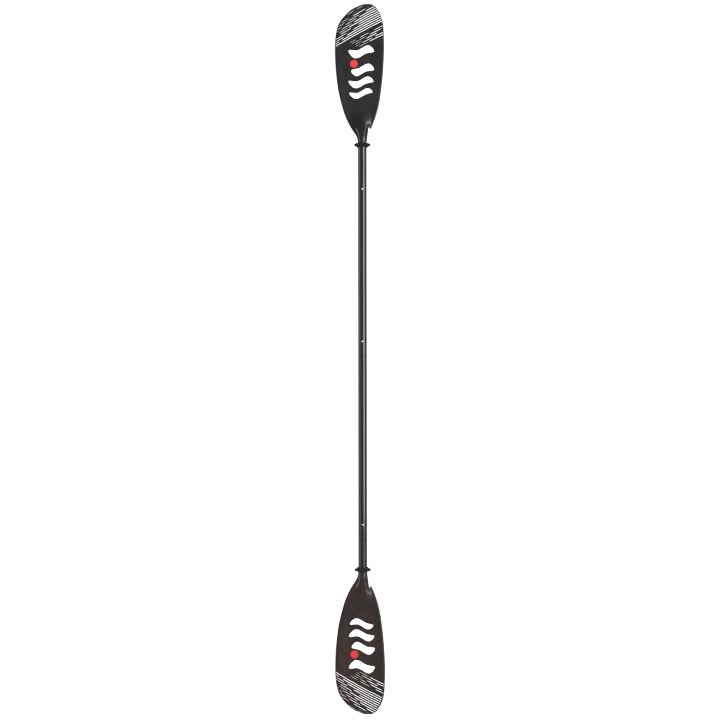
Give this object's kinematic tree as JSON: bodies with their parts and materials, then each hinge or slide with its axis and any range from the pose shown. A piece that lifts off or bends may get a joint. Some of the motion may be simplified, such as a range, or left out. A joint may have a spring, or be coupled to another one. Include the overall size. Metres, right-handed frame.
{
  "type": "kayak paddle",
  "caption": "Double-bladed take-apart kayak paddle: straight black shaft with snap-button joints, drip rings and asymmetric spoon blades with printed tips.",
  "frame": {"origin": "on the shaft's axis, halfway between the two blade tips", "axes": "+Y along the shaft towards the upper blade, +Z out of the power faces, +X towards the notched long edges of the blades; the paddle lies on its back"},
  "size_m": [0.161, 2.2992, 0.054],
  "materials": {
    "blade": "satin",
    "shaft": "gloss",
    "ferrule": "satin",
    "button": "polished",
    "spring": "satin",
    "drip_ring": "matte",
    "foam": "matte"
  },
  "bodies": {
    "lower_shaft": {"lower_main_tube": "shaft", "lower_outer_plug": "foam", "lower_inner_plug": "foam", "centre_ferrule": "ferrule", "centre_button_spring": "spring"},
    "upper_shaft": {"upper_main_tube": "shaft", "upper_outer_plug": "foam", "upper_inner_plug": "foam"},
    "upper_blade_section": {"upper_blade": "blade", "upper_stub_tube": "shaft", "upper_ferrule": "ferrule", "upper_button_spring": "spring"},
    "lower_blade_section": {"lower_blade": "blade", "lower_stub_tube": "shaft", "lower_ferrule": "ferrule", "lower_button_spring": "spring"},
    "upper_button": {"upper_snap_button": "button"},
    "centre_button": {"centre_snap_button": "button"},
    "lower_button": {"lower_snap_button": "button"},
    "upper_ring": {"upper_drip_ring": "drip_ring"},
    "lower_ring": {"lower_drip_ring": "drip_ring"}
  },
  "joints": [
    {"name": "feather_turn", "type": "hinge", "parent": "lower_shaft", "child": "upper_shaft", "pos_m": [0, 0, 0], "axis": [0, 1, 0], "range_deg": [-60, 60], "deforming": ["centre_snap_button", "centre_button_spring"]},
    {"name": "upper_blade_pull", "type": "slide", "parent": "upper_shaft", "child": "upper_blade_section", "axis": [0, 1, 0], "range_m": [0, 0.1], "deforming": ["upper_snap_button", "upper_button_spring"]},
    {"name": "lower_blade_pull", "type": "slide", "parent": "lower_shaft", "child": "lower_blade_section", "axis": [0, -1, 0], "range_m": [0, 0.1], "deforming": ["lower_snap_button", "lower_button_spring"]},
    {"name": "centre_button_press", "type": "slide", "parent": "lower_shaft", "child": "centre_button", "axis": [0, 0, -1], "range_m": [0, 0.0034], "stiffness_N_per_m": 3000, "springref_m": -0.003},
    {"name": "upper_button_press", "type": "slide", "parent": "upper_blade_section", "child": "upper_button", "axis": [0, 0, -1], "range_m": [0, 0.0034], "stiffness_N_per_m": 3000, "springref_m": -0.003},
    {"name": "lower_button_press", "type": "slide", "parent": "lower_blade_section", "child": "lower_button", "axis": [0, 0, -1], "range_m": [0, 0.0034], "stiffness_N_per_m": 3000, "springref_m": -0.003},
    {"name": "upper_ring_slide", "type": "slide", "parent": "upper_blade_section", "child": "upper_ring", "axis": [0, -1, 0], "range_m": [0, 0.08]},
    {"name": "lower_ring_slide", "type": "slide", "parent": "lower_blade_section", "child": "lower_ring", "axis": [0, 1, 0], "range_m": [0, 0.08]}
  ]
}
